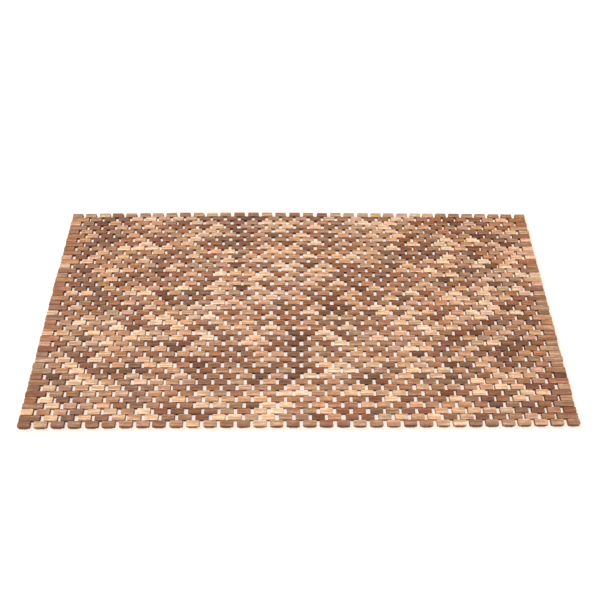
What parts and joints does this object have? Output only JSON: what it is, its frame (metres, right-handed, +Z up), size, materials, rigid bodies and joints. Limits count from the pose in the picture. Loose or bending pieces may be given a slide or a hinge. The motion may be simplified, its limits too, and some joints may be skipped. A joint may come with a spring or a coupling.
{
  "type": "bath mat",
  "caption": "Roll-up bath mat of small teak blocks strung on cords in a brick pattern, with drainage gaps between the blocks.",
  "frame": {"origin": "middle of the mat's underside, lying flat on the floor", "axes": "+X along the long side and along the rows of blocks, +Y from the front row to the back row, +Z up"},
  "size_m": [0.8112, 0.4124, 0.0052],
  "materials": {
    "teak_blocks": "oiled teak, satin, from pale tan to dark brown from block to block",
    "cord": "brown nylon cord, matt"
  },
  "bodies": {
    "row_01": {"block_row_01": "teak_blocks"},
    "row_02": {"block_row_02": "teak_blocks"},
    "row_03": {"block_row_03": "teak_blocks"},
    "row_04": {"block_row_04": "teak_blocks"},
    "row_05": {"block_row_05": "teak_blocks"},
    "row_06": {"block_row_06": "teak_blocks"},
    "row_07": {"block_row_07": "teak_blocks"},
    "row_08": {"block_row_08": "teak_blocks"},
    "row_09": {"block_row_09": "teak_blocks"},
    "row_10": {"block_row_10": "teak_blocks"},
    "row_11": {"block_row_11": "teak_blocks"},
    "row_12": {"block_row_12": "teak_blocks"},
    "row_13": {"block_row_13": "teak_blocks"},
    "row_14": {"block_row_14": "teak_blocks"},
    "row_15": {"block_row_15": "teak_blocks"},
    "row_16": {"block_row_16": "teak_blocks"},
    "row_17": {"block_row_17": "teak_blocks"},
    "row_18": {"block_row_18": "teak_blocks"},
    "row_19": {"block_row_19": "teak_blocks"},
    "row_20": {"block_row_20": "teak_blocks"},
    "row_21": {"block_row_21": "teak_blocks"},
    "row_22": {"block_row_22": "teak_blocks"},
    "row_23": {"block_row_23": "teak_blocks"},
    "row_24": {"block_row_24": "teak_blocks"},
    "row_25": {"block_row_25": "teak_blocks"},
    "row_26": {"block_row_26": "teak_blocks"},
    "row_27": {"block_row_27": "teak_blocks"},
    "row_28": {"block_row_28": "teak_blocks"},
    "row_29": {"block_row_29": "teak_blocks"},
    "row_30": {"block_row_30": "teak_blocks"},
    "row_31": {"block_row_31": "teak_blocks"},
    "row_32": {"block_row_32": "teak_blocks"},
    "row_33": {"block_row_33": "teak_blocks"},
    "row_34": {"block_row_34": "teak_blocks"},
    "row_35": {"block_row_35": "teak_blocks"},
    "row_36": {"block_row_36": "teak_blocks"},
    "row_37": {"block_row_37": "teak_blocks"},
    "row_38": {"block_row_38": "teak_blocks"},
    "row_39": {"block_row_39": "teak_blocks"},
    "row_40": {"block_row_40": "teak_blocks"},
    "row_41": {"block_row_41": "teak_blocks"},
    "row_42": {"block_row_42": "teak_blocks"},
    "row_43": {"block_row_43": "teak_blocks"}
  },
  "joints": [
    {"name": "fold_01", "type": "hinge", "parent": "row_01", "child": "row_02", "pos_m": [0, -0.1968, 0.0052], "axis": [1, 0, 0], "range_deg": [0, 15.4]},
    {"name": "fold_02", "type": "hinge", "parent": "row_02", "child": "row_03", "pos_m": [0, -0.1872, 0.0052], "axis": [1, 0, 0], "range_deg": [0, 15.6]},
    {"name": "fold_03", "type": "hinge", "parent": "row_03", "child": "row_04", "pos_m": [0, -0.1776, 0.0052], "axis": [1, 0, 0], "range_deg": [0, 15.7]},
    {"name": "fold_04", "type": "hinge", "parent": "row_04", "child": "row_05", "pos_m": [0, -0.168, 0.0052], "axis": [1, 0, 0], "range_deg": [0, 15.9]},
    {"name": "fold_05", "type": "hinge", "parent": "row_05", "child": "row_06", "pos_m": [0, -0.1584, 0.0052], "axis": [1, 0, 0], "range_deg": [0, 16]},
    {"name": "fold_06", "type": "hinge", "parent": "row_06", "child": "row_07", "pos_m": [0, -0.1488, 0.0052], "axis": [1, 0, 0], "range_deg": [0, 16.1]},
    {"name": "fold_07", "type": "hinge", "parent": "row_07", "child": "row_08", "pos_m": [0, -0.1392, 0.0052], "axis": [1, 0, 0], "range_deg": [0, 16.3]},
    {"name": "fold_08", "type": "hinge", "parent": "row_08", "child": "row_09", "pos_m": [0, -0.1296, 0.0052], "axis": [1, 0, 0], "range_deg": [0, 16.5]},
    {"name": "fold_09", "type": "hinge", "parent": "row_09", "child": "row_10", "pos_m": [0, -0.12, 0.0052], "axis": [1, 0, 0], "range_deg": [0, 16.6]},
    {"name": "fold_10", "type": "hinge", "parent": "row_10", "child": "row_11", "pos_m": [0, -0.1104, 0.0052], "axis": [1, 0, 0], "range_deg": [0, 16.8]},
    {"name": "fold_11", "type": "hinge", "parent": "row_11", "child": "row_12", "pos_m": [0, -0.1008, 0.0052], "axis": [1, 0, 0], "range_deg": [0, 16.9]},
    {"name": "fold_12", "type": "hinge", "parent": "row_12", "child": "row_13", "pos_m": [0, -0.0912, 0.0052], "axis": [1, 0, 0], "range_deg": [0, 17.1]},
    {"name": "fold_13", "type": "hinge", "parent": "row_13", "child": "row_14", "pos_m": [0, -0.0816, 0.0052], "axis": [1, 0, 0], "range_deg": [0, 17.3]},
    {"name": "fold_14", "type": "hinge", "parent": "row_14", "child": "row_15", "pos_m": [0, -0.072, 0.0052], "axis": [1, 0, 0], "range_deg": [0, 17.5]},
    {"name": "fold_15", "type": "hinge", "parent": "row_15", "child": "row_16", "pos_m": [0, -0.0624, 0.0052], "axis": [1, 0, 0], "range_deg": [0, 17.7]},
    {"name": "fold_16", "type": "hinge", "parent": "row_16", "child": "row_17", "pos_m": [0, -0.0528, 0.0052], "axis": [1, 0, 0], "range_deg": [0, 17.9]},
    {"name": "fold_17", "type": "hinge", "parent": "row_17", "child": "row_18", "pos_m": [0, -0.0432, 0.0052], "axis": [1, 0, 0], "range_deg": [0, 18.1]},
    {"name": "fold_18", "type": "hinge", "parent": "row_18", "child": "row_19", "pos_m": [0, -0.0336, 0.0052], "axis": [1, 0, 0], "range_deg": [0, 18.3]},
    {"name": "fold_19", "type": "hinge", "parent": "row_19", "child": "row_20", "pos_m": [0, -0.024, 0.0052], "axis": [1, 0, 0], "range_deg": [0, 18.5]},
    {"name": "fold_20", "type": "hinge", "parent": "row_20", "child": "row_21", "pos_m": [0, -0.0144, 0.0052], "axis": [1, 0, 0], "range_deg": [0, 18.7]},
    {"name": "fold_21", "type": "hinge", "parent": "row_21", "child": "row_22", "pos_m": [0, -0.0048, 0.0052], "axis": [1, 0, 0], "range_deg": [0, 19]},
    {"name": "fold_22", "type": "hinge", "parent": "row_22", "child": "row_23", "pos_m": [0, 0.0048, 0.0052], "axis": [1, 0, 0], "range_deg": [0, 19.2]},
    {"name": "fold_23", "type": "hinge", "parent": "row_23", "child": "row_24", "pos_m": [0, 0.0144, 0.0052], "axis": [1, 0, 0], "range_deg": [0, 19.5]},
    {"name": "fold_24", "type": "hinge", "parent": "row_24", "child": "row_25", "pos_m": [0, 0.024, 0.0052], "axis": [1, 0, 0], "range_deg": [0, 19.7]},
    {"name": "fold_25", "type": "hinge", "parent": "row_25", "child": "row_26", "pos_m": [0, 0.0336, 0.0052], "axis": [1, 0, 0], "range_deg": [0, 20]},
    {"name": "fold_26", "type": "hinge", "parent": "row_26", "child": "row_27", "pos_m": [0, 0.0432, 0.0052], "axis": [1, 0, 0], "range_deg": [0, 20.3]},
    {"name": "fold_27", "type": "hinge", "parent": "row_27", "child": "row_28", "pos_m": [0, 0.0528, 0.0052], "axis": [1, 0, 0], "range_deg": [0, 20.6]},
    {"name": "fold_28", "type": "hinge", "parent": "row_28", "child": "row_29", "pos_m": [0, 0.0624, 0.0052], "axis": [1, 0, 0], "range_deg": [0, 20.9]},
    {"name": "fold_29", "type": "hinge", "parent": "row_29", "child": "row_30", "pos_m": [0, 0.072, 0.0052], "axis": [1, 0, 0], "range_deg": [0, 21.3]},
    {"name": "fold_30", "type": "hinge", "parent": "row_30", "child": "row_31", "pos_m": [0, 0.0816, 0.0052], "axis": [1, 0, 0], "range_deg": [0, 21.6]},
    {"name": "fold_31", "type": "hinge", "parent": "row_31", "child": "row_32", "pos_m": [0, 0.0912, 0.0052], "axis": [1, 0, 0], "range_deg": [0, 22]},
    {"name": "fold_32", "type": "hinge", "parent": "row_32", "child": "row_33", "pos_m": [0, 0.1008, 0.0052], "axis": [1, 0, 0], "range_deg": [0, 22.4]},
    {"name": "fold_33", "type": "hinge", "parent": "row_33", "child": "row_34", "pos_m": [0, 0.1104, 0.0052], "axis": [1, 0, 0], "range_deg": [0, 22.8]},
    {"name": "fold_34", "type": "hinge", "parent": "row_34", "child": "row_35", "pos_m": [0, 0.12, 0.0052], "axis": [1, 0, 0], "range_deg": [0, 23.2]},
    {"name": "fold_35", "type": "hinge", "parent": "row_35", "child": "row_36", "pos_m": [0, 0.1296, 0.0052], "axis": [1, 0, 0], "range_deg": [0, 23.6]},
    {"name": "fold_36", "type": "hinge", "parent": "row_36", "child": "row_37", "pos_m": [0, 0.1392, 0.0052], "axis": [1, 0, 0], "range_deg": [0, 24.1]},
    {"name": "fold_37", "type": "hinge", "parent": "row_37", "child": "row_38", "pos_m": [0, 0.1488, 0.0052], "axis": [1, 0, 0], "range_deg": [0, 24.6]},
    {"name": "fold_38", "type": "hinge", "parent": "row_38", "child": "row_39", "pos_m": [0, 0.1584, 0.0052], "axis": [1, 0, 0], "range_deg": [0, 25.2]},
    {"name": "fold_39", "type": "hinge", "parent": "row_39", "child": "row_40", "pos_m": [0, 0.168, 0.0052], "axis": [1, 0, 0], "range_deg": [0, 25.8]},
    {"name": "fold_40", "type": "hinge", "parent": "row_40", "child": "row_41", "pos_m": [0, 0.1776, 0.0052], "axis": [1, 0, 0], "range_deg": [0, 26.4]},
    {"name": "fold_41", "type": "hinge", "parent": "row_41", "child": "row_42", "pos_m": [0, 0.1872, 0.0052], "axis": [1, 0, 0], "range_deg": [0, 27]},
    {"name": "fold_42", "type": "hinge", "parent": "row_42", "child": "row_43", "pos_m": [0, 0.1968, 0.0052], "axis": [1, 0, 0], "range_deg": [0, 27.8]}
  ]
}
